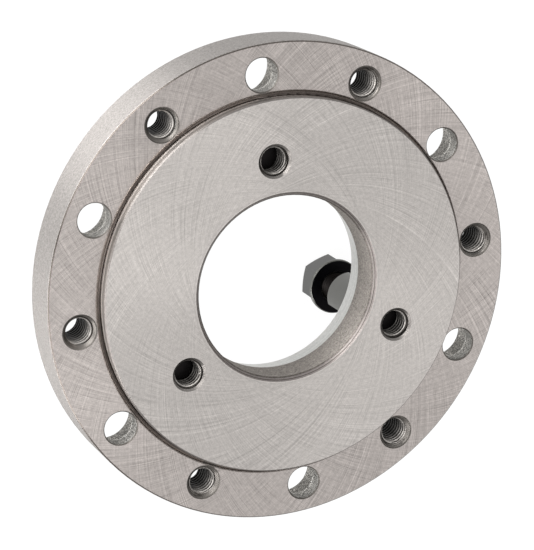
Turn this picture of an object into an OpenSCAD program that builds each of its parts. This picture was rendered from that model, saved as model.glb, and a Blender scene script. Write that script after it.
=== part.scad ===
// Chuck adapter plate for a short-taper lathe spindle, with three studs and their collar nuts.
// The origin is the centre of the back face, where the spindle seats, and +Z points to the chuck.

/* [Plate] */
// Outside diameter of the plate
plate_d = 160; // [144:0.5:220]
// Thickness of the flange, from the back face to the face that the chuck seats on
plate_t = 16.4; // [15:0.1:30]
// Chamfer on both outside edges
rim_chamfer = 0.5; // [0.2:0.1:0.7]

/* [Chuck register] */
// Width of the flange face, from the rim to the raised register that centres the chuck
flange_w = 17.5; // [17.5:0.1:24]
// Height of the register above the flange face
register_h = 3.6; // [2.5:0.1:8]
// Chamfer on the register's front edge
register_chamfer = 0.4; // [0.2:0.1:1]
// Width of the undercut in the flange face, outside the register's wall
groove_w = 1.5; // [1:0.1:1.5]
// Depth of the undercut below the flange face
groove_depth = 1.2; // [1.1:0.1:3]
// Height of the relieved foot of the register's wall
relief_h = 0.9; // [0.5:0.1:1.4]
// How far the foot of the wall is set back
relief_cut = 0.2; // [0.1:0.05:0.4]

/* [Bore and spindle taper] */
// Diameter of the straight bore
bore_d = 60.8; // [40:0.1:61.2]
// Chamfer at the front mouth of the bore
bore_chamfer = 1.4; // [0.5:0.1:2.5]
// Gauge diameter of the short taper, at the back face
taper_gauge_d = 63.513; // [63.513:0.001:65]
// Length of the taper, from the back face
taper_len = 8.3; // [6:0.1:9]
// Length over which the taper's diameter changes by one
taper_ratio = 4; // [4:0.5:12]
// Chamfer where the taper meets the back face
taper_lead = 0.3; // [0.1:0.1:0.8]

/* [Chuck screws] */
// Distance from the rim to the circle of the chuck screws and of the tapped holes between them
screw_edge = 10; // [9.6:0.1:10]
// Number of through holes, and of tapped holes
screw_count = 6; // [3:1:8]
// Diameter of the through holes
clear_d = 11; // [10.5:0.1:11]
// Diameter of the counterbores for the screw heads
head_d = 17; // [16:0.1:17.4]
// Depth of the counterbores, from the back face
head_depth = 10.5; // [6:0.1:12]
// Deburring chamfer at the mouths of the through holes
deburr = 0.4; // [0.2:0.1:0.6]

/* [Threads] */
// Nominal diameter of every thread
thread_d = 10; // [8:0.5:10.4]
// Mouth diameter of the six tapped holes
tap_mouth_d = 11.8; // [11:0.1:11.8]
// Mouth diameter of the stud holes in the register's face
stud_mouth_d = 11.4; // [11:0.1:13]
// Radial clearance between each stud's thread and what it screws into
thread_clearance = 0.05; // [0.02:0.01:0.09]

/* [Studs] */
// Pitch circle of the studs
stud_pcd = 85; // [84:0.5:92]
// Number of degrees from the +Y direction to the first stud, counter-clockwise
stud_start = 0; // [0:30:90]
// How far the stud reaches into the plate, from the back face
stud_engage = 12; // [8:0.5:15]
// Depth of the recess in the back face that the stud's shoulder seats in
seat_depth = 1; // [0.6:0.1:3]
// Radial clearance between the shank and the wall of that recess
seat_clearance = 1.2; // [0.5:0.1:1.4]
// Diameter of the stud's shank
shank_d = 16; // [13.5:0.1:17.6]
// Length of the shank, from the plate's back face
shank_len = 17.5; // [8:0.5:40]
// Width across the shank's two spanner flats
shank_flats = 13; // [11:0.5:13]
// Length of the shank that stays round, from the plate's back face to the flats
shank_round = 4; // [1:0.5:6]
// Chamfer at both ends of the shank
shank_chamfer = 0.5; // [0.2:0.1:1]
// Diameter of the runout groove between the shank and the nut's thread
runout_d = 8.2; // [6:0.1:8.2]
// Length of the runout groove
runout_len = 2.5; // [1:0.1:4]
// Chamfer at both ends of the stud
stud_chamfer = 1; // [0.5:0.1:1.5]
// Length of thread that stands out behind the nut
stud_tail = 1.5; // [0.5:0.1:10]

/* [Collar nuts] */
// Distance from the shank's end to the nut's collar
nut_gap = 9.7; // [5:0.1:20]
// Height of the nut over its collar
nut_h = 10.4; // [8:0.1:16]
// Width across the nut's flats
nut_flats = 16; // [15:0.5:16.5]
// Diameter of the collar
collar_d = 19.2; // [19.1:0.1:20.8]
// Thickness of the collar
collar_t = 1.7; // [1.2:0.1:4]
// Chamfer on the collar's edges
collar_chamfer = 0.3; // [0.1:0.1:0.5]
// Mouth chamfer of the nut's thread
nut_mouth = 0.7; // [0.3:0.1:1.2]

/* [Driver hole] */
// Diameter of the blind hole for the spindle's driving button
driver_d = 14.6; // [14:0.1:17]
// Depth of the driver hole
driver_depth = 7; // [4:0.5:10]

/* [Hidden] */
$fn = 96;
// Cutters run past the faces that they cut by this much
past = 1;
steel = [0.74, 0.72, 0.70];
stud_steel = [0.50, 0.50, 0.49];
nut_steel = [0.36, 0.36, 0.36];
front_z = plate_t + register_h;
bore_r = bore_d / 2;
shank_r = shank_d / 2;
register_r = plate_d / 2 - flange_w;
thread_r = thread_d / 2;
stud_r = thread_r - thread_clearance;
taper_end_r = (taper_gauge_d - taper_len / taper_ratio) / 2;
screw_pcd = plate_d - 2 * screw_edge;
screw_step = 360 / screw_count;
stud_count = 3;
stud_step = 360 / stud_count;
nut_seat_z = -shank_len - nut_gap;
nut_end_z = nut_seat_z - nut_h;
stud_end_z = nut_end_z - stud_tail;
// Each nut and each shank stops where it was tightened, so their flats point differently
nut_turns = [13, 29, 46];
shank_turns = [31, 52, 78];
// A hexagon's corners lie this much further out than its flats
hex_corner = 1 / cos(30);
// Slope of the chamfer on the nut's corners
corner_slope = tan(30);

// Places its children on the pitch circle of diameter pcd, turned by angle from +Y
module on_circle(pcd, angle) {
    rotate([0, 0, 90 + angle])
        translate([pcd / 2, 0, 0])
            children();
}

// A straight cutter from z0 to z1
module drill(r, z0, z1) {
    translate([0, 0, z0])
        cylinder(r = r, h = z1 - z0);
}

// A 45 degree cutter for the mouth of a hole in the face at z, which looks towards side
module mouth(hole_r, mouth_r, z, side) {
    depth = mouth_r - hole_r;
    translate([0, 0, z])
        mirror([0, 0, side > 0 ? 0 : 1])
            translate([0, 0, -depth])
                cylinder(r1 = hole_r, r2 = mouth_r + past, h = depth + past);
}

// The turned outline: back face, spindle taper, bore, register, flange and rim
module plate_outline() {
    polygon([
        [taper_gauge_d / 2 + taper_lead, 0],
        [taper_gauge_d / 2 - taper_lead / taper_ratio / 2, taper_lead],
        [taper_end_r, taper_len],
        [bore_r, taper_len],
        [bore_r, front_z - bore_chamfer],
        [bore_r + bore_chamfer, front_z],
        [register_r - register_chamfer, front_z],
        [register_r, front_z - register_chamfer],
        [register_r, plate_t],
        [plate_d / 2 - rim_chamfer, plate_t],
        [plate_d / 2, plate_t - rim_chamfer],
        [plate_d / 2, rim_chamfer],
        [plate_d / 2 - rim_chamfer, 0]
    ]);
}

// Cutter for the undercut at the foot of the register: a groove with a round bottom,
// which also sets the foot of the register's wall back
module undercut() {
    tool_r = (groove_w + relief_cut) / 2;
    inner_r = register_r - relief_cut;
    bottom_z = plate_t - groove_depth + tool_r;
    rotate_extrude()
        translate([inner_r + tool_r, bottom_z])
            circle(r = tool_r);
    rotate_extrude()
        polygon([
            [inner_r, bottom_z],
            [inner_r, plate_t + relief_h - relief_cut],
            [register_r, plate_t + relief_h],
            [register_r + groove_w, plate_t + relief_h],
            [register_r + groove_w, bottom_z]
        ]);
}

// Cutter for one through hole with its counterbore in the back
module screw_hole() {
    drill(clear_d / 2, -past, plate_t + past);
    mouth(clear_d / 2, clear_d / 2 + deburr, plate_t, 1);
    mouth(clear_d / 2, clear_d / 2 + deburr, head_depth, -1);
    back_recess(head_d / 2, head_depth);
}

// Cutter for one tapped hole that runs from the face at bottom_z through to the face at top_z
module tapped_hole(bottom_z, top_z, front_mouth_d) {
    drill(thread_r, bottom_z - past, top_z + past);
    mouth(thread_r, front_mouth_d / 2, top_z, 1);
    mouth(thread_r, stud_mouth_d / 2, bottom_z, -1);
}

// Cutter for one blind recess in the back face
module back_recess(r, depth) {
    drill(r, -past, depth);
    mouth(r, r + deburr, 0, -1);
}

module plate() {
    color(steel)
        difference() {
            rotate_extrude()
                plate_outline();
            undercut();
            for (i = [0 : screw_count - 1]) {
                on_circle(screw_pcd, i * screw_step)
                    screw_hole();
                on_circle(screw_pcd, (i + 0.5) * screw_step)
                    tapped_hole(0, plate_t, tap_mouth_d);
            }
            for (i = [0 : stud_count - 1])
                on_circle(stud_pcd, stud_start + i * stud_step) {
                    tapped_hole(seat_depth, front_z, stud_mouth_d);
                    back_recess(shank_r + seat_clearance, seat_depth);
                }
            on_circle(stud_pcd, stud_start + stud_step / 2)
                back_recess(driver_d / 2, driver_depth);
        }
}

// The stud's turned outline, with the shank's shoulder on the floor of its recess
module stud_outline() {
    polygon([
        [0, stud_end_z],
        [stud_r - stud_chamfer, stud_end_z],
        [stud_r, stud_end_z + stud_chamfer],
        [stud_r, -shank_len - runout_len],
        [runout_d / 2, -shank_len - runout_len + stud_r - runout_d / 2],
        [runout_d / 2, -shank_len],
        [shank_r - shank_chamfer, -shank_len],
        [shank_r, -shank_len + shank_chamfer],
        [shank_r, seat_depth - shank_chamfer],
        [shank_r - shank_chamfer, seat_depth],
        [stud_r, seat_depth],
        [stud_r, stud_engage - stud_chamfer],
        [stud_r - stud_chamfer, stud_engage],
        [0, stud_engage]
    ]);
}

module stud(turn) {
    color(stud_steel)
        rotate([0, 0, turn])
            difference() {
                rotate_extrude()
                    stud_outline();
                for (side = [0, 180])
                    rotate([0, 0, side])
                        translate([shank_flats / 2, -shank_d, -shank_len - past])
                            cube([shank_d, 2 * shank_d, shank_len + past - shank_round]);
            }
}

// Outline of the solid that trims the nut's corners: its collar, and a cone at its far end
module nut_envelope() {
    corner_r = nut_flats / 2 * hex_corner + past;
    end_r = nut_flats / 2;
    polygon([
        [0, nut_end_z],
        [end_r, nut_end_z],
        [corner_r, nut_end_z + (corner_r - end_r) * corner_slope],
        [corner_r, nut_seat_z - collar_t / 2],
        [0, nut_seat_z - collar_t / 2]
    ]);
}

module collar_outline() {
    polygon([
        [0, nut_seat_z - collar_t],
        [collar_d / 2 - collar_chamfer, nut_seat_z - collar_t],
        [collar_d / 2, nut_seat_z - collar_t + collar_chamfer],
        [collar_d / 2, nut_seat_z - collar_chamfer],
        [collar_d / 2 - collar_chamfer, nut_seat_z],
        [0, nut_seat_z]
    ]);
}

module collar_nut(turn) {
    color(nut_steel)
        rotate([0, 0, turn])
            difference() {
                union() {
                    intersection() {
                        translate([0, 0, nut_end_z])
                            cylinder(r = nut_flats / 2 * hex_corner, h = nut_h - collar_t / 2, $fn = 6);
                        rotate_extrude()
                            nut_envelope();
                    }
                    rotate_extrude()
                        collar_outline();
                }
                drill(thread_r, nut_end_z - past, nut_seat_z + past);
                mouth(thread_r, thread_r + nut_mouth, nut_seat_z, 1);
                mouth(thread_r, thread_r + nut_mouth, nut_end_z, -1);
            }
}

module stud_at(i) {
    on_circle(stud_pcd, stud_start + i * stud_step)
        stud(shank_turns[i]);
}

module collar_nut_at(i) {
    on_circle(stud_pcd, stud_start + i * stud_step)
        collar_nut(nut_turns[i]);
}

module stud_1() stud_at(0);
module stud_2() stud_at(1);
module stud_3() stud_at(2);
module collar_nut_1() collar_nut_at(0);
module collar_nut_2() collar_nut_at(1);
module collar_nut_3() collar_nut_at(2);

plate();
stud_1();
stud_2();
stud_3();
collar_nut_1();
collar_nut_2();
collar_nut_3();
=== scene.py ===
import math
from types import SimpleNamespace

import bmesh
import bpy
from mathutils import Matrix, Quaternion, Vector


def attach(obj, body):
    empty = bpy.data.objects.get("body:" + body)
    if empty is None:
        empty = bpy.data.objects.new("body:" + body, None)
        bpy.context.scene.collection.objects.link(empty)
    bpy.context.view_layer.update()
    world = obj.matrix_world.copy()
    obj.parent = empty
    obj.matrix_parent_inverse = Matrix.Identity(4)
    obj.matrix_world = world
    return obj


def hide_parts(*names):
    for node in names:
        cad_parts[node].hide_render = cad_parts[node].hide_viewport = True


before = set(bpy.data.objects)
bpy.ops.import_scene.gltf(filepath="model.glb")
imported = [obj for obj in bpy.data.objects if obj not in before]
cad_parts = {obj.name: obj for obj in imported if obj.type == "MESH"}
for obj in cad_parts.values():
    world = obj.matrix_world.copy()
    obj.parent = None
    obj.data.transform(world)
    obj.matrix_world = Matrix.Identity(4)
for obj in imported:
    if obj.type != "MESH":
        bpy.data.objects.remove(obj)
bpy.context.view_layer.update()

# Lengths are in millimetres up to the point where a mesh or a node takes them
MM = 0.001

# The plate, as part.scad has it
PLATE_T = 16.4
FRONT_Z = 20.0
RIM_R = 80.0
GROOVE_R = 64.0
REGISTER_WALL_R = 62.3
BORE_R = 30.4
BORE_EDGE_R = BORE_R + 1.4
TAPER_LEN = 8.3
SCREW_HOLE_R = 5.5
SCREW_CIRCLE_R = 70.0
STUD_CIRCLE_R = 42.5
STUD_ANGLES = (90, 210, 330)
TAPPED_ANGLES = (0, 60, 120, 180, 240, 300)
SEAT_DEPTH = 1.0

# The threads
PITCH = 1.5
MAJOR_R = 5.0
MINOR_R = 4.2
TURN_STEPS = 40
LET_IN = 0.06

# The studs
SHANK_R = 8.0
SHANK_END = -17.5
SHANK_TURNS = (31, 52, 78)
SHANK_HALF_FLATS = 6.5
FLATS_TOP = -4.0
SHANK_CHAMFER = 0.5
SHANK_STEPS = 96
NECK_R = 4.1
STUD_R = 4.95
THREAD_TOP = -20.0
STUD_END = -39.1
STUD_TOP = 12.0
STUD_CHAMFER = 1.0

# The collar nuts
COLLAR_FACE_Z = -27.2
COLLAR_BACK_Z = -28.9

# Limits of the plate's masks, in radius or in height above the back
OUTER_HOLES_FROM_R = 50.0
FLANGE_FROM_R = 62.0
RIM_FROM_R = RIM_R - 0.15
BORE_TO_R = BORE_EDGE_R + 1.4
COUNTERBORE_TO_Z = 12.0
REGISTER_FROM_Z = 18.0

# How far a hole's own surfaces reach from its axis, and its rounded lip with them
COUNTERBORE_REACH = 9.8
MOUTH_REACH = 6.9
HOLE_LIP_R = SCREW_HOLE_R + 0.35
GROOVE_LIP_R = GROOVE_R + 0.25

# Points closer than MERGE become one, and points nearer to a plane than the next two lie on it
MERGE = 0.002
ON_PLANE = 0.0005
TINY = 0.01

# Edges that bend less than this are shaded smooth
SMOOTH_BELOW = math.radians(28)

# The floor's own light, and how far it lies below the studs
FLOOR_GLOW = 0.93
FLOOR_GAP = 0.1

# Metres from the plate to each lamp
LAMP_DISTANCE = 1.2

WHITE = (1.0, 1.0, 1.0, 1.0)
DARK_GREY = (0.1, 0.1, 0.1, 1.0)


def rgb(*colour):
    """An sRGB colour, 0 to 255, as linear values."""
    linear = [((c / 255 + 0.055) / 1.055) ** 2.4 if c > 10 else c / 255 / 12.92 for c in colour]
    return (*linear, 1.0)


# Steel tones of the plate, with painted shade on its edges, in its groove and in the stud holes
FLANGE_TONE = rgb(177, 170, 166)
REGISTER_TONE = rgb(186, 181, 177)
RIM_TONE = rgb(148, 144, 141)
# Painted shade: the chamfered edges are darkened where they mirror dark surroundings
FLANGE_EDGE_SHADE = rgb(92, 86, 82)
REGISTER_EDGE_SHADE = rgb(124, 119, 116)
UNDERCUT_WALL_TONE = rgb(160, 152, 147)
REGISTER_WALL_TONE = rgb(130, 125, 121)
# Painted shade: the undercut groove's floor
GROOVE_FLOOR_SHADE = rgb(84, 77, 73)
GROOVE_OUTER_TONE = rgb(150, 142, 137)
TAPER_TONE = rgb(198, 198, 195)
BORE_TONE = rgb(138, 133, 128)
BORE_FOOT_TONE = rgb(98, 93, 89)
BORE_EDGE_TONE = rgb(128, 122, 119)
BORE_RING_TONE = rgb(70, 64, 61)
SCREW_HOLE_TONE = rgb(168, 166, 162)
# Painted shade: the walls of the blind stud holes
STUD_HOLE_SHADE = rgb(52, 49, 47)
TAPPED_MOUTH_TONE = rgb(104, 100, 96)
STUD_MOUTH_TONE = rgb(120, 116, 113)

# Steel tones of the threads, the studs and the nuts, with painted shade in the thread roots, on
# the studs' ends and on the collars' faces
# Painted shade: the thread's roots are dark, darkest deep in the hole
DEEP_ROOT_SHADE = rgb(8, 7, 7)
MOUTH_ROOT_SHADE = rgb(34, 32, 30)
CREST_TONE = rgb(150, 146, 142)
THREAD_CONE_TONE = rgb(112, 108, 104)
SHANK_TONE = rgb(110, 110, 107)
STUD_THREAD_TONE = rgb(31, 29, 28)
# Black oxide with painted shade: the stud's end deep in its hole
STUD_TOP_OXIDE_AND_SHADE = rgb(34, 32, 32)
NUT_FLATS_TONE = rgb(98, 98, 97)
COLLAR_TONE = rgb(102, 102, 99)
# Painted shade: the collar's face, which looks up at the unlit underside of the plate
COLLAR_FACE_SHADE = rgb(29, 29, 32)


# Meshes

def outline_ring(bm, outline, steps):
    """Turns an outline of (radius, height) points once round the Z axis."""
    corners = [bm.verts.new((r, 0, z)) for r, z in outline]
    edges = [bm.edges.new(pair) for pair in zip(corners, corners[1:])]
    bmesh.ops.spin(bm, geom=corners + edges, cent=(0, 0, 0), axis=(0, 0, 1), dvec=(0, 0, 0),
                   angle=math.tau, steps=steps, use_merge=True, use_normal_flip=False,
                   use_duplicate=False)
    bmesh.ops.remove_doubles(bm, verts=bm.verts, dist=MERGE)


def tooth(outer_r, inner_r, outer_flat, inner_flat):
    """One pitch of a thread's outline, from the middle of one outer flat to the next."""
    flank = (PITCH - outer_flat - inner_flat) / 2
    heights = (0, outer_flat / 2, outer_flat / 2 + flank, outer_flat / 2 + flank + inner_flat,
               PITCH - outer_flat / 2, PITCH)
    radii = (outer_r, outer_r, inner_r, inner_r, outer_r, outer_r)
    return list(zip(radii, heights))


def cut_thread(bm, outline, low, high):
    """A right-handed thread's skin between two heights, with a flat cut at each end."""
    turns = math.ceil((high - low) / PITCH) + 2
    start = low - PITCH
    corners = [bm.verts.new((r, 0, start - PITCH + z)) for r, z in outline]
    edges = [bm.edges.new(pair) for pair in zip(corners, corners[1:])]
    bmesh.ops.spin(bm, geom=corners + edges, cent=(0, 0, 0), axis=(0, 0, 1),
                   dvec=(0, 0, PITCH / TURN_STEPS), angle=math.tau * turns,
                   steps=TURN_STEPS * turns, use_merge=False, use_normal_flip=False,
                   use_duplicate=False)
    bmesh.ops.remove_doubles(bm, verts=bm.verts, dist=MERGE)
    for height, up in ((low, False), (high, True)):
        bmesh.ops.bisect_plane(bm, geom=bm.verts[:] + bm.edges[:] + bm.faces[:], dist=ON_PLANE,
                               plane_co=(0, 0, height), plane_no=(0, 0, 1),
                               clear_outer=up, clear_inner=not up)


def open_edges(bm, height):
    """The edges of an open end that is cut level at a height."""
    return [e for e in bm.edges if e.is_boundary
            and all(abs(v.co.z - height) < TINY for v in e.verts)]


def set_radius(vertex, radius):
    """Moves a vertex straight out from the Z axis, or in towards it."""
    flat = Vector((vertex.co.x, vertex.co.y))
    flat *= radius / flat.length
    vertex.co.x, vertex.co.y = flat


def hole_thread(bm, low, high, low_mouth, high_mouth):
    """The thread of a tapped hole as a closed sleeve that is let into the hole's wall."""
    cut_thread(bm, tooth(MAJOR_R + 0.02, MINOR_R, 0.19, 0.38), low, high)
    for v in bm.verts:
        cone = max(low_mouth - (v.co.z - low), high_mouth - (high - v.co.z))
        if math.hypot(v.co.x, v.co.y) < cone:
            set_radius(v, cone)
    rings = []
    for height, mouth_r in ((low, low_mouth), (high, high_mouth)):
        grown = bmesh.ops.extrude_edge_only(bm, edges=open_edges(bm, height))
        verts = [g for g in grown["geom"] if isinstance(g, bmesh.types.BMVert)]
        for v in verts:
            set_radius(v, max(mouth_r, MAJOR_R) + LET_IN)
        rings += [g for g in grown["geom"] if isinstance(g, bmesh.types.BMEdge)
                  and all(v in verts for v in g.verts)]
    bmesh.ops.bridge_loops(bm, edges=rings)


def tapped_hole_thread(bm):
    """The thread through the flange, with a wide cone at the face."""
    hole_thread(bm, 0.6, PLATE_T - 0.3, MINOR_R + 0.1, 5.5)


def stud_hole_thread(bm):
    """The thread above a stud, with a narrow cone below the register's face."""
    hole_thread(bm, STUD_TOP - 0.9, FRONT_Z - 1.2, MINOR_R, 4.6)


def stud_thread(bm):
    """The stud's thread below its neck, chamfered at its end, as a closed solid."""
    top = THREAD_TOP + 0.3
    cut_thread(bm, tooth(STUD_R, MINOR_R - 0.1, 0.2, 0.3), STUD_END, top)
    for v in bm.verts:
        cone = min(STUD_R - STUD_CHAMFER + (v.co.z - STUD_END), STUD_R)
        if math.hypot(v.co.x, v.co.y) > cone:
            set_radius(v, cone)
    for height in (STUD_END, top):
        bmesh.ops.contextual_create(bm, geom=open_edges(bm, height))


def mill_flats(bm):
    """Cuts the two spanner flats into the lower part of the shank."""
    for side in (1, -1):
        lower = [f for f in bm.faces
                 if all(SHANK_END - TINY < v.co.z < FLATS_TOP + TINY for v in f.verts)]
        edges = {e for f in lower for e in f.edges}
        verts = {v for f in lower for v in f.verts}
        bmesh.ops.bisect_plane(bm, geom=lower + list(edges) + list(verts), dist=ON_PLANE,
                               plane_co=(side * SHANK_HALF_FLATS, 0, 0), plane_no=(side, 0, 0))
        gone = [f for f in bm.faces if side * f.calc_center_median().x > SHANK_HALF_FLATS
                and SHANK_END - TINY < f.calc_center_median().z < FLATS_TOP - TINY]
        bmesh.ops.delete(bm, geom=gone, context="FACES")
        ends = [v for v in bm.verts if abs(v.co.z - FLATS_TOP) < TINY
                and abs(side * v.co.x - SHANK_HALF_FLATS) < TINY]
        chord = bmesh.ops.contextual_create(bm, geom=ends)["edges"]
        step = [e for e in bm.edges if e.is_boundary and e not in chord
                and all(abs(v.co.z - FLATS_TOP) < TINY for v in e.verts)]
        flat = [e for e in bm.edges if e.is_boundary and e not in step and e not in chord
                and all(abs(side * v.co.x - SHANK_HALF_FLATS) < TINY for v in e.verts)]
        bmesh.ops.contextual_create(bm, geom=step + chord)
        bmesh.ops.contextual_create(bm, geom=flat + chord)


def stud_shank(bm):
    """The stud's turned body: thread into the plate, shank, neck and a core for the thread."""
    outline = [
        (0, THREAD_TOP), (NECK_R, THREAD_TOP), (NECK_R, SHANK_END),
        (SHANK_R - SHANK_CHAMFER, SHANK_END), (SHANK_R, SHANK_END + SHANK_CHAMFER),
        (SHANK_R, FLATS_TOP), (SHANK_R, SEAT_DEPTH - SHANK_CHAMFER),
        (SHANK_R - SHANK_CHAMFER, SEAT_DEPTH), (STUD_R, SEAT_DEPTH),
        (STUD_R, STUD_TOP - STUD_CHAMFER), (STUD_R - STUD_CHAMFER, STUD_TOP), (0, STUD_TOP)]
    outline_ring(bm, outline, SHANK_STEPS)
    mill_flats(bm)


def join_shapes(makers):
    """Closed shapes in one bmesh, each made on its own."""
    whole = bmesh.new()
    for maker in makers:
        part = bmesh.new()
        maker(part)
        bmesh.ops.recalc_face_normals(part, faces=part.faces)
        mesh = bpy.data.meshes.new("part")
        part.to_mesh(mesh)
        part.free()
        whole.from_mesh(mesh)
        bpy.data.meshes.remove(mesh)
    return whole


def make_piece(name, makers, angle, circle_r, turn=0.0):
    """An object in metres from closed shapes, on its place on a pitch circle."""
    bm = join_shapes(makers)
    bmesh.ops.recalc_face_normals(bm, faces=bm.faces)
    place = (Matrix.Rotation(math.radians(angle), 4, "Z") @ Matrix.Translation((circle_r, 0, 0))
             @ Matrix.Rotation(math.radians(turn), 4, "Z"))
    bmesh.ops.transform(bm, matrix=Matrix.Scale(MM, 4) @ place, verts=bm.verts)
    mesh = bpy.data.meshes.new(name)
    bm.to_mesh(mesh)
    bm.free()
    mesh.shade_smooth()
    mesh.set_sharp_from_angle(angle=SMOOTH_BELOW)
    piece = bpy.data.objects.new(name, mesh)
    bpy.context.scene.collection.objects.link(piece)
    return piece


# Materials

class Wires:
    """Adds nodes to one tree. Each input is a number, a vector or another node's output."""

    def __init__(self, tree):
        self.tree = tree

    def connect(self, value, target):
        if isinstance(value, bpy.types.NodeSocket):
            self.tree.links.new(value, target)
        elif value is not None:
            target.default_value = value

    def add(self, kind, inputs=(), **settings):
        node = self.tree.nodes.new("ShaderNode" + kind)
        for name, value in settings.items():
            setattr(node, name, value)
        pairs = inputs.items() if isinstance(inputs, dict) else enumerate(inputs)
        for key, value in pairs:
            self.connect(value, node.inputs[key])
        return node

    def calc(self, operation, *inputs, clamp=False):
        return self.add("Math", inputs, operation=operation, use_clamp=clamp).outputs[0]

    def times(self, first, *others):
        for other in others:
            first = self.calc("MULTIPLY", first, other)
        return first

    def plus(self, first, second):
        return self.calc("ADD", first, second)

    def minus(self, first, second, clamp=False):
        return self.calc("SUBTRACT", first, second, clamp=clamp)

    def over(self, value, limit):
        """1 where value is above a limit."""
        return self.calc("GREATER_THAN", value, limit)

    def under(self, value, limit):
        """1 where value is below a limit."""
        return self.calc("LESS_THAN", value, limit)

    def band(self, value, low, high, soft):
        """1 where value is between low and high, with soft edges."""
        rise, fall = (
            self.add("MapRange", {"Value": value, "From Min": limit - soft,
                                  "From Max": limit + soft}, interpolation_type="SMOOTHSTEP")
            for limit in (low, high))
        return self.minus(rise.outputs[0], fall.outputs[0], clamp=True)

    def spread(self, value, low, high, low_out, high_out):
        """Runs from low_out to high_out while value runs from low to high."""
        return self.add("MapRange", {"Value": value, "From Min": low, "From Max": high,
                                     "To Min": low_out, "To Max": high_out}).outputs[0]

    def swing(self, value, contrast):
        """Turns a pattern about 0.5 into a factor about 1."""
        return self.plus(self.times(self.minus(value, 0.5), contrast), 1.0)

    def pick(self, mask, without, within):
        """Mixes two colours by a mask."""
        node = self.add("Mix", {0: mask, 6: without, 7: within}, data_type="RGBA")
        return node.outputs[2]

    def blend(self, mask, without, within):
        """Mixes two values by a mask."""
        return self.plus(self.times(mask, within), self.times(self.minus(1.0, mask), without))

    def vector(self, operation, *inputs):
        return self.add("VectorMath", inputs, operation=operation).outputs["Vector"]

    def join(self, x, y, z):
        return self.add("CombineXYZ", (x, y, z)).outputs[0]

    def split(self, vector):
        return self.add("SeparateXYZ", (vector,)).outputs

    def scale(self, vector, factor):
        """A vector, or a colour, that is made longer or lighter by a factor."""
        if not isinstance(vector, bpy.types.NodeSocket):
            vector = vector[:3]
        return self.vector("MULTIPLY", vector, self.join(factor, factor, factor))

    def noise(self, place, scale, detail=3.0, roughness=0.6):
        return self.add("TexNoise", {"Vector": place, "Scale": scale, "Detail": detail,
                                     "Roughness": roughness}).outputs[0]

    def effect(self, tree, **inputs):
        """An effect's node group with its own values. Its outputs go by name."""
        node = self.tree.nodes.new("ShaderNodeGroup")
        node.node_tree = tree
        for name, value in inputs.items():
            self.connect(value, node.inputs[name.replace("_", " ").title()])
        return node.outputs


def new_effect(name, takes, gives):
    """An empty node group with named sockets, the wires in it, its inputs and its end."""
    tree = bpy.data.node_groups.new(name, "ShaderNodeTree")
    for label, kind in takes.items():
        tree.interface.new_socket(label, in_out="INPUT", socket_type="NodeSocket" + kind)
    for label in gives:
        tree.interface.new_socket(label, in_out="OUTPUT", socket_type="NodeSocketFloat")
    start = tree.nodes.new("NodeGroupInput")
    end = tree.nodes.new("NodeGroupOutput")
    return tree, Wires(tree), start.outputs, end.inputs


def turning_place():
    """Radius, angle and height of a point about the Z axis."""
    tree, w, takes, gives = new_effect("turning_place", {"Position": "Vector"},
                                       ("Radius", "Angle", "Height"))
    x, y, z = w.split(takes["Position"])
    radius = w.calc("SQRT", w.plus(w.times(x, x), w.times(y, y)))
    tree.links.new(radius, gives["Radius"])
    tree.links.new(w.calc("ARCTAN2", y, x), gives["Angle"])
    tree.links.new(z, gives["Height"])
    return tree


def ground_arcs():
    """Marks of a cup wheel that crosses the face twice: arcs of one radius, centred on a circle.

    Streaks swing about 0.5 along the arcs, and Lines is 1 on the feed marks, which follow
    each other at almost even steps and fade in and out.
    """
    tree, w, takes, gives = new_effect(
        "ground_arcs",
        {"Position": "Vector", "Radius": "Float", "Angle": "Float", "Wheel Radius": "Float",
         "Circle Radius": "Float", "Density": "Float", "Marks": "Float"},
        ("Streaks", "Lines"))
    r, centre, wheel = takes["Radius"], takes["Circle Radius"], takes["Wheel Radius"]
    square = w.minus(w.times(centre, centre), w.times(wheel, wheel))
    cosine = w.calc("DIVIDE", w.plus(w.times(r, r), square), w.times(r, centre, 2.0))
    reach = w.calc("ARCCOSINE", w.calc("MINIMUM", w.calc("MAXIMUM", cosine, -1.0), 1.0))
    streaks, lines = [], []
    for number, turn in enumerate(("ADD", "SUBTRACT")):
        u = w.calc(turn, takes["Angle"], reach)
        shift = w.vector("ADD", takes["Position"], (0.3 * number, 0.7 * number, 0.0))
        strength = w.spread(w.noise(shift, 90.0, 2.0, 0.5), 0.38, 0.62, 0.25, 1.0)
        fading = w.spread(w.noise(shift, 75.0, 3.0, 0.6), 0.42, 0.62, 0.0, 1.0)
        across = w.times(w.calc("COSINE", u), takes["Density"])
        along = w.times(w.calc("SINE", u), takes["Density"])
        ring = w.join(across, along, 3.7 * number)
        fine = w.minus(w.noise(ring, 3.6, 2.0, 0.6), 0.5)
        streaks.append(w.times(fine, strength))
        wander = w.times(w.noise(ring, 0.35, 2.0, 0.5), 9.0)
        turns = w.calc("DIVIDE", w.times(u, takes["Marks"]), math.tau)
        phase = w.calc("FRACT", w.plus(turns, wander))
        ridge = w.calc("ABSOLUTE", w.minus(phase, 0.5))
        thin = w.spread(ridge, 0.0, 0.12, 1.0, 0.0)
        lines.append(w.times(thin, fading))
    tree.links.new(w.plus(w.plus(*streaks), 0.5), gives["Streaks"])
    tree.links.new(w.calc("MAXIMUM", *lines), gives["Lines"])
    return tree


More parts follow.
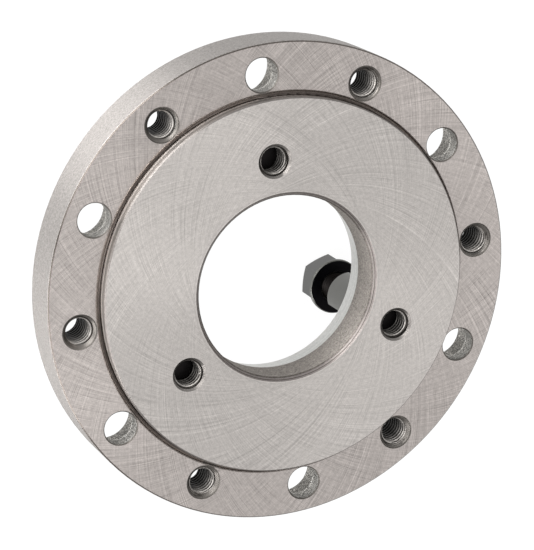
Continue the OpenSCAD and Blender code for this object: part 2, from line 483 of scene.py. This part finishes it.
def nearest_hole():
    """Distance from the nearest hole's axis on a pitch circle of evenly spaced holes."""
    tree, w, takes, gives = new_effect(
        "nearest_hole",
        {"Radius": "Float", "Angle": "Float", "Pitch Radius": "Float", "First": "Float",
         "Step": "Float"},
        ("Distance",))
    turned = w.calc("DIVIDE", w.minus(takes["Angle"], takes["First"]), takes["Step"])
    off = w.times(w.minus(turned, w.calc("ROUND", turned)), takes["Step"])
    along = w.minus(w.times(takes["Radius"], w.calc("COSINE", off)), takes["Pitch Radius"])
    across = w.times(takes["Radius"], w.calc("SINE", off))
    distance = w.calc("SQRT", w.plus(w.times(along, along), w.times(across, across)))
    tree.links.new(distance, gives["Distance"])
    return tree


def metal_grain():
    """Fine mottling of bare metal, about 1 in the middle."""
    tree, w, takes, gives = new_effect(
        "metal_grain", {"Position": "Vector", "Scale": "Float", "Contrast": "Float"},
        ("Factor", "Height"))
    fine = w.noise(takes["Position"], w.times(takes["Scale"], 4.0), 4.0, 0.7)
    coarse = w.noise(takes["Position"], takes["Scale"], 3.0, 0.6)
    both = w.plus(w.times(fine, 0.6), w.times(coarse, 0.4))
    tree.links.new(w.swing(both, takes["Contrast"]), gives["Factor"])
    tree.links.new(both, gives["Height"])
    return tree


def turned_rings():
    """Fine rings that a lathe tool leaves, over radius and height, about 1 in the middle."""
    tree, w, takes, gives = new_effect(
        "turned_rings", {"Radius": "Float", "Height": "Float", "Scale": "Float",
                         "Contrast": "Float"}, ("Factor", "Ring Height"))
    rings = w.noise(w.join(takes["Radius"], takes["Height"], 0.0), takes["Scale"], 4.0, 0.7)
    tree.links.new(w.swing(rings, takes["Contrast"]), gives["Factor"])
    tree.links.new(rings, gives["Ring Height"])
    return tree


TURNING_PLACE = turning_place()
GROUND_ARCS = ground_arcs()
NEAREST_HOLE = nearest_hole()
METAL_GRAIN = metal_grain()
TURNED_RINGS = turned_rings()


def new_material(name):
    material = bpy.data.materials.new(name)
    material.use_nodes = True
    material.node_tree.nodes.clear()
    return material, Wires(material.node_tree)


def steel_shader(w, colour, roughness, height, distance, tangent=None, anisotropic=0.0):
    """The steel's shader with its bump, on the material's output."""
    bump = w.add("Bump", {"Height": height, "Distance": distance, "Strength": 1.0})
    shader = w.add("BsdfPrincipled", {"Base Color": colour, "Roughness": roughness,
                                      "Normal": bump.outputs[0], "Metallic": 1.0,
                                      "Anisotropic": anisotropic, "Anisotropic Rotation": 0.25,
                                      "Tangent": tangent})
    output = w.add("OutputMaterial")
    w.tree.links.new(shader.outputs[0], output.inputs[0])


def from_hole_axis(w, radius, angle):
    """Distance from the nearest hole's axis, over both pitch circles."""
    screws = w.effect(NEAREST_HOLE, radius=radius, angle=angle,
                      pitch_radius=SCREW_CIRCLE_R * MM, first=0.0, step=math.radians(30))
    studs = w.effect(NEAREST_HOLE, radius=radius, angle=angle,
                     pitch_radius=STUD_CIRCLE_R * MM, first=math.radians(30),
                     step=math.radians(60))
    return w.calc("MINIMUM", screws["Distance"], studs["Distance"])


def plate_regions(w):
    """Where a point of the plate lies, and masks of the plate's surfaces."""
    coordinates = w.add("TexCoord").outputs
    position = coordinates["Object"]
    radius, angle, height = w.effect(TURNING_PLACE, position=position)
    upright = w.calc("ABSOLUTE", w.split(coordinates["Normal"])[2])
    level = w.over(upright, 0.9)
    steep = w.under(upright, 0.35)
    sloping = w.minus(1.0, w.plus(level, steep), clamp=True)

    # The holes, whose counterbores are wider than their mouths
    from_hole = from_hole_axis(w, radius, angle)
    hole_reach = w.blend(w.over(height, COUNTERBORE_TO_Z * MM), COUNTERBORE_REACH * MM,
                         MOUTH_REACH * MM)
    by_hole = w.under(from_hole, hole_reach)
    hole_wall = w.times(steep, by_hole)
    mouth = w.times(sloping, by_hole)

    # The bore: its taper, its straight wall, and the edges at both ends
    by_bore = w.under(radius, BORE_TO_R * MM)
    bore_wall = w.times(by_bore, steep)
    straight_bore = w.times(bore_wall, w.over(height, TAPER_LEN * MM))
    bore_slope = w.times(sloping, by_bore)
    bore_edge = w.times(bore_slope, w.over(radius, (BORE_R + 0.38) * MM))

    # The flange, from the undercut at the register's foot out to the rim
    outer = w.over(radius, FLANGE_FROM_R * MM)
    on_rim = w.over(radius, RIM_FROM_R * MM)
    below_rim = w.under(radius, RIM_FROM_R * MM)
    register_wall = w.times(steep, w.band(radius, 61.0 * MM, (REGISTER_WALL_R + 0.4) * MM,
                                          0.02 * MM))
    groove = w.times(w.band(radius, FLANGE_FROM_R * MM, (GROOVE_R - 0.1) * MM, 0.02 * MM),
                     w.band(height, 14 * MM, (PLATE_T - 0.05) * MM, 0.03 * MM))
    flange_face = w.times(level, w.band(height, 16 * MM, 17 * MM, 0.1 * MM), outer)
    return SimpleNamespace(
        position=position, radius=radius, angle=angle, height=height, level=level,
        from_hole=from_hole, hole_wall=hole_wall, mouth=mouth,
        straight_bore=straight_bore, taper=w.minus(bore_wall, straight_bore),
        bore_edge=bore_edge, bore_foot=w.minus(bore_slope, bore_edge),
        on_register=w.over(height, REGISTER_FROM_Z * MM),
        edge=w.times(sloping, w.minus(1.0, by_hole), below_rim),
        rim=w.times(w.minus(1.0, level), on_rim),
        register_wall=register_wall,
        bright_wall=w.times(register_wall, w.over(height, 15.5 * MM)),
        groove=groove,
        flange_face=flange_face,
        groove_lip=w.times(flange_face, w.band(radius, (GROOVE_R - 0.5) * MM,
                                               GROOVE_LIP_R * MM, 0.02 * MM)),
        hole_lip=w.times(level, outer, w.under(from_hole, HOLE_LIP_R * MM)),
        bored=w.calc("MAXIMUM", w.calc("MAXIMUM", straight_bore, hole_wall), bore_slope))


def face_marks(w, p):
    """Streaks and feed marks of the grinding wheel, wider on the register than on the flange."""
    place = {"position": p.position, "radius": p.radius, "angle": p.angle}
    register = w.effect(GROUND_ARCS, **place, wheel_radius=75 * MM, circle_radius=45 * MM,
                        density=24.0, marks=90.0)
    flange = w.effect(GROUND_ARCS, **place, wheel_radius=100 * MM, circle_radius=70 * MM,
                      density=54.0, marks=240.0)
    return [w.blend(p.on_register, flange[name], register[name]) for name in ("Streaks", "Lines")]


def plate_tones(w, p, rings, streaks, lines):
    """How much lighter or darker each point of the plate is than its steel."""
    grain = w.effect(METAL_GRAIN, position=p.position, scale=900.0, contrast=1.2)
    clouds = w.effect(METAL_GRAIN, position=p.position, scale=260.0, contrast=0.4)
    blasted = w.effect(METAL_GRAIN, position=p.position, scale=1300.0, contrast=2.8)
    flattened = w.vector("MULTIPLY", p.position, (1.0, 1.0, 2.5))
    rough = w.spread(w.noise(flattened, 1500.0, 3.0, 0.7), 0.35, 0.65, -1.0, 1.0)

    # Ground faces, with a turned band and a fine line round the bore
    ground = w.swing(streaks, w.blend(p.on_register, 1.4, 0.85))
    ground = w.minus(ground, w.times(lines, w.blend(p.on_register, 0.15, 0.13)))
    ground = w.times(ground, grain["Factor"], w.blend(p.on_register, clouds["Factor"], 1.0))
    turned_band = w.band(p.radius, 30.0 * MM, BORE_TO_R * MM, 0.4 * MM)
    bore_line = w.times(p.level, w.band(p.radius, (BORE_EDGE_R - 0.1) * MM,
                                        (BORE_EDGE_R + 0.2) * MM, 0.05 * MM))
    turned = w.times(w.minus(rings["Factor"], 1.0), w.times(turned_band, 1.6))
    ground = w.times(ground, w.plus(1.0, turned), w.plus(1.0, w.times(bore_line, 0.12)))

    # The blasted rim, the turned walls, and the rougher bore and holes
    walls = w.blend(p.rim, w.times(rings["Factor"], grain["Factor"]), blasted["Factor"])
    tones = w.blend(p.level, walls, ground)
    roughly = w.blend(p.hole_wall, w.blend(p.bore_edge, 0.5, 0.2), 0.75)
    tones = w.blend(p.bored, tones, w.plus(rings["Factor"], w.times(rough, roughly)))

    # The screw holes: a light ring above the counterbore, and darker towards the face
    ring_z = 11.5
    ring = w.times(p.hole_wall, w.band(p.height, ring_z * MM, (ring_z + 0.3) * MM, 0.06 * MM))
    below_ring = w.times(p.hole_wall, w.under(p.height, ring_z * MM))
    hole_depth = w.blend(below_ring, w.spread(p.height, 12.5 * MM, 15.5 * MM, 1.0, 0.75), 1.3)
    screw_hole = w.times(p.hole_wall, w.over(p.radius, OUTER_HOLES_FROM_R * MM))
    tones = w.times(tones, w.plus(1.0, w.times(ring, 0.9)), w.blend(screw_hole, 1.0, hole_depth))

    # Mottling at the holes' lips, and painted light on the register's wall: brighter towards its
    # foot above the undercut, with a darker band in the middle
    # Random mottling, mostly darker, in a ring round each hole's lip on the flange
    lip_mottling = w.spread(w.noise(p.position, 600.0, 2.0, 0.6), 0.4, 0.6, 0.6, 1.1)
    wall_middle = w.band(p.height, 17.1 * MM, 18.4 * MM, 0.4 * MM)
    # Painted light: the register's wall is brightened, most at its foot
    painted_wall_light = w.minus(w.spread(p.height, 16.5 * MM, 18.5 * MM, 2.9, 1.2),
                         w.times(wall_middle, 0.6))
    return w.times(tones, w.blend(p.hole_lip, 1.0, lip_mottling), w.blend(p.bright_wall, 1.0, painted_wall_light))


def plate_steel(w, p):
    """The steel's colour on each surface of the plate, with painted shade in the groove, on the
    edges and in the stud holes.
    """
    # Painted shade darkens the groove's floor; its outer part keeps a lighter steel tone
    groove_floor = w.pick(w.band(p.radius, 63.3 * MM, (GROOVE_R + 0.5) * MM, 0.3 * MM),
                          GROOVE_FLOOR_SHADE, GROOVE_OUTER_TONE)
    bore_ring = w.times(p.bore_edge, w.band(p.radius, (BORE_R + 0.8) * MM,
                                            (BORE_R + 0.96) * MM, 0.04 * MM))
    colour = w.pick(p.on_register, FLANGE_TONE, REGISTER_TONE)
    for mask, tone in (
            (p.rim, RIM_TONE),
            # Painted shade on the chamfered edges
            (p.edge, w.pick(p.on_register, FLANGE_EDGE_SHADE, REGISTER_EDGE_SHADE)),
            (p.register_wall, UNDERCUT_WALL_TONE),
            (p.groove, groove_floor),
            (p.bright_wall, REGISTER_WALL_TONE),
            (p.taper, TAPER_TONE),
            (p.straight_bore, BORE_TONE),
            (p.bore_foot, BORE_FOOT_TONE),
            (p.bore_edge, BORE_EDGE_TONE),
            (bore_ring, BORE_RING_TONE),
            # Painted shade in the stud holes
            (p.hole_wall, w.pick(p.on_register, SCREW_HOLE_TONE, STUD_HOLE_SHADE)),
            (p.mouth, w.pick(p.on_register, TAPPED_MOUTH_TONE, STUD_MOUTH_TONE))):
        colour = w.pick(mask, colour, tone)
    return colour


def plate_roughness(w, p, streaks):
    """Dull in the bore and the holes, finer on the ground faces and the flange's edge."""
    roughness = w.blend(p.bored, w.spread(streaks, 0.2, 0.8, 0.40, 0.32), 0.75)
    for mask, value in (
            (p.bright_wall, 0.44),
            (p.edge, w.blend(p.on_register, 0.27, 0.42)),
            (w.times(p.mouth, w.minus(1.0, p.on_register)), 0.6),
            (p.rim, 0.5)):
        roughness = w.blend(mask, roughness, value)
    return roughness


def plate_height(w, p, rings, streaks):
    """Bump of the marks, with rounded lips at the holes and at the undercut."""
    height = w.blend(p.level, rings["Ring Height"], streaks)
    hole_rounding = w.spread(p.from_hole, SCREW_HOLE_R * MM, HOLE_LIP_R * MM, -30.0, 0.0)
    groove_rounding = w.spread(p.radius, GROOVE_R * MM, GROOVE_LIP_R * MM, -22.0, 0.0)
    height = w.plus(height, w.times(p.hole_lip, hole_rounding))
    return w.plus(height, w.times(p.groove_lip, groove_rounding))


def ground_plate():
    """The plate's steel: ground faces, blasted rim, turned bore, drilled and tapped holes."""
    material, w = new_material("ground_steel_plate")
    p = plate_regions(w)
    rings = w.effect(TURNED_RINGS, radius=p.radius, height=p.height, scale=1500.0, contrast=0.5)
    streaks, lines = face_marks(w, p)
    colour = w.scale(plate_steel(w, p), plate_tones(w, p, rings, streaks, lines))
    # The marks run round the axis, and half across it on the flange
    round_it = w.vector("CROSS_PRODUCT", (0.0, 0.0, 1.0), p.position)
    across = w.scale(w.vector("MULTIPLY", p.position, (1.0, 1.0, 0.0)), p.flange_face)
    tangent = w.vector("NORMALIZE", w.vector("ADD", round_it, across))
    steel_shader(w, colour, plate_roughness(w, p, streaks), plate_height(w, p, rings, streaks),
                 0.01 * MM, tangent, 0.75)
    return material


def cut_thread_steel():
    """The threads in the holes: bright crests, roots darkened by painted shade, and a plain cone
    at the mouth.
    """
    material, w = new_material("cut_thread_steel")
    position = w.add("TexCoord").outputs["Object"]
    radius, angle, height = w.effect(TURNING_PLACE, position=position)
    grain = w.effect(METAL_GRAIN, position=position, scale=1300.0, contrast=4.0)
    depth = w.spread(from_hole_axis(w, radius, angle), (MINOR_R + 0.02) * MM,
                     (MAJOR_R - 0.4) * MM, 0.0, 1.0)
    tapped = w.over(radius, OUTER_HOLES_FROM_R * MM)
    cone = w.times(tapped, w.over(height, 15.2 * MM))

    # Painted shade and light: the thread darkens deeper in the hole and lightens towards the
    # mouth
    in_tapped = w.calc("POWER", w.spread(height, 3 * MM, 14.5 * MM, 0.0, 1.0), 4.0)
    in_stud_hole = w.calc("POWER", w.spread(height, STUD_TOP * MM, 18.7 * MM, 0.0, 1.0), 5.0)
    light = w.blend(tapped, w.spread(in_stud_hole, 0.0, 1.0, 0.2, 2.2),
                    w.spread(in_tapped, 0.0, 1.0, 0.06, 1.8))
    root = w.pick(w.blend(tapped, in_stud_hole, in_tapped), DEEP_ROOT_SHADE, MOUTH_ROOT_SHADE)
    thread = w.scale(w.pick(depth, CREST_TONE, root), w.times(grain["Factor"], light))
    specks = w.spread(grain["Factor"], 0.0, 2.0, 0.8, 1.2)
    colour = w.pick(cone, thread, w.scale(THREAD_CONE_TONE, specks))
    steel_shader(w, colour, w.spread(grain["Height"], 0.3, 0.7, 0.36, 0.48), grain["Height"],
                 0.01 * MM)
    return material


def turned_stud_steel():
    """The studs' satin steel, with a darker thread and neck, and a near-black end inside the
    plate: black oxide with painted shade.
    """
    material, w = new_material("turned_stud_steel")
    position = w.add("TexCoord").outputs["Object"]
    height = w.split(position)[2]
    grain = w.effect(METAL_GRAIN, position=position, scale=800.0, contrast=0.3)
    rings = w.effect(TURNED_RINGS, radius=0.0, height=height, scale=2500.0, contrast=0.35)
    below_shank = w.under(height, (SHANK_END - 0.02) * MM)
    colour = w.pick(below_shank, SHANK_TONE, STUD_THREAD_TONE)
    # Black oxide and painted shade on the stud's part inside the plate, whose end shows in the
    # hole
    colour = w.pick(w.over(height, 2 * MM), colour, STUD_TOP_OXIDE_AND_SHADE)
    colour = w.scale(colour, w.times(grain["Factor"], rings["Factor"]))
    steel_shader(w, colour, w.spread(grain["Height"], 0.3, 0.7, 0.32, 0.48),
                 rings["Ring Height"], 0.01 * MM)
    return material


def satin_nut_steel():
    """The nuts' satin steel, grey on the flats, with painted shade that makes the collar's face
    black.
    """
    material, w = new_material("satin_nut_steel")
    coordinates = w.add("TexCoord").outputs
    position = coordinates["Object"]
    height = w.split(position)[2]
    grain = w.effect(METAL_GRAIN, position=position, scale=800.0, contrast=0.4)
    faces_up = w.over(w.split(coordinates["Normal"])[2], 0.9)
    # Painted shade: the collar's face, turned up towards the plate, is made near black
    collar_face_shade = w.times(faces_up, w.over(height, (COLLAR_FACE_Z - 0.4) * MM))
    collar = w.over(height, (COLLAR_BACK_Z - 0.05) * MM)
    colour = w.pick(collar, NUT_FLATS_TONE, COLLAR_TONE)
    colour = w.pick(collar_face_shade, colour, COLLAR_FACE_SHADE)
    colour = w.scale(colour, grain["Factor"])
    steel_shader(w, colour, w.spread(grain["Height"], 0.3, 0.7, 0.33, 0.47), grain["Height"],
                 0.02 * MM)
    return material


def pale_floor():
    """A white floor that keeps a faint shadow and is clear from below."""
    material, w = new_material("pale_floor")
    rays = w.add("LightPath").outputs
    shown = w.calc("MAXIMUM", rays["Is Camera Ray"],
                   w.calc("MAXIMUM", rays["Is Glossy Ray"], rays["Is Transmission Ray"]))
    glow = w.add("Emission", {"Color": WHITE, "Strength": w.times(shown, FLOOR_GLOW)})
    matt = w.add("BsdfDiffuse", {"Color": DARK_GREY})
    both = w.add("AddShader", (glow.outputs[0], matt.outputs[0]))
    clear = w.add("BsdfTransparent")
    below = w.add("NewGeometry").outputs["Backfacing"]
    sides = w.add("MixShader", (below, both.outputs[0], clear.outputs[0]))
    output = w.add("OutputMaterial")
    w.tree.links.new(sides.outputs[0], output.inputs[0])
    return material


# Camera

def set_camera():
    """The camera where the photograph was taken, with its roll and its lens, in metres."""
    data = bpy.data.cameras.new("camera")
    data.lens = 158.0887
    data.sensor_width = 36.0
    data.clip_start, data.clip_end = 0.01, 20.0
    camera = bpy.data.objects.new("camera", data)
    bpy.context.scene.collection.objects.link(camera)
    place = Vector((-0.272844, 0.254069, 0.703359))
    aim = Vector((0.0010226, -0.0013758, 0.0))
    roll = Quaternion((0, 0, 1), math.radians(123.515))
    camera.rotation_mode = "QUATERNION"
    camera.location = place
    camera.rotation_quaternion = (aim - place).to_track_quat("-Z", "Y") @ roll
    bpy.context.scene.camera = camera


set_camera()

# Pieces

PLATE_STEEL = ground_plate()
THREAD_STEEL = cut_thread_steel()
STUD_STEEL = turned_stud_steel()
NUT_STEEL = satin_nut_steel()


def give(obj, material):
    """The piece's or node's material."""
    obj.data.materials.clear()
    obj.data.materials.append(material)


give(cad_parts["plate"], PLATE_STEEL)
for number in (1, 2, 3):
    give(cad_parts[f"collar_nut_{number}"], NUT_STEEL)
    give(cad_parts[f"stud_{number}"], STUD_STEEL)

for number, angle in enumerate(TAPPED_ANGLES, 1):
    piece = make_piece(f"tapped_thread_{number}", [tapped_hole_thread], angle, SCREW_CIRCLE_R)
    give(piece, THREAD_STEEL)
    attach(piece, "plate")

for number, angle in enumerate(STUD_ANGLES, 1):
    piece = make_piece(f"stud_hole_thread_{number}", [stud_hole_thread], angle, STUD_CIRCLE_R)
    give(piece, THREAD_STEEL)
    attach(piece, "plate")

    piece = make_piece(f"threaded_stud_{number}", [stud_shank, stud_thread], angle,
                       STUD_CIRCLE_R, SHANK_TURNS[number - 1])
    give(piece, STUD_STEEL)
    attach(piece, "plate")
    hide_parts(f"stud_{number}")

# Floor and light

bpy.ops.mesh.primitive_plane_add(size=8.0, location=(0, 0, (STUD_END - FLOOR_GAP) * MM))
floor = bpy.context.object
floor.name = "floor"
floor.data.materials.append(pale_floor())


def white_world():
    """Plain white light from all round."""
    world = bpy.data.worlds.new("studio")
    bpy.context.scene.world = world
    world.use_nodes = True
    world.node_tree.nodes.clear()
    w = Wires(world.node_tree)
    background = w.add("Background", {"Color": WHITE, "Strength": 1.0})
    output = w.add("OutputWorld")
    w.tree.links.new(background.outputs[0], output.inputs[0])


def soft_lamp(name, azimuth, elevation, width, tall, power):
    """A flat lamp that faces the plate from an azimuth, counter-clockwise from +X."""
    data = bpy.data.lights.new(name, "AREA")
    data.shape = "RECTANGLE"
    data.size, data.size_y = width, tall
    data.energy = power
    lamp = bpy.data.objects.new(name, data)
    bpy.context.scene.collection.objects.link(lamp)
    a, e = math.radians(azimuth), math.radians(elevation)
    lamp.location = Vector((math.cos(a) * math.cos(e), math.sin(a) * math.cos(e),
                            math.sin(e))) * LAMP_DISTANCE
    lamp.rotation_mode = "QUATERNION"
    lamp.rotation_quaternion = lamp.location.to_track_quat("Z", "Y")


white_world()
soft_lamp("low_lamp", 126, 5, 1.0, 0.35, 22.0)
soft_lamp("glint_lamp", 135, 30, 1.1, 0.3, 4.2)
soft_lamp("left_lamp", 200, 5, 1.3, 0.35, 15.0)
soft_lamp("high_left_lamp", 180, 60, 0.5, 0.5, 4.0)
soft_lamp("high_right_lamp", 75, 60, 0.5, 0.5, 2.0)

bpy.context.scene.view_settings.view_transform = "Standard"
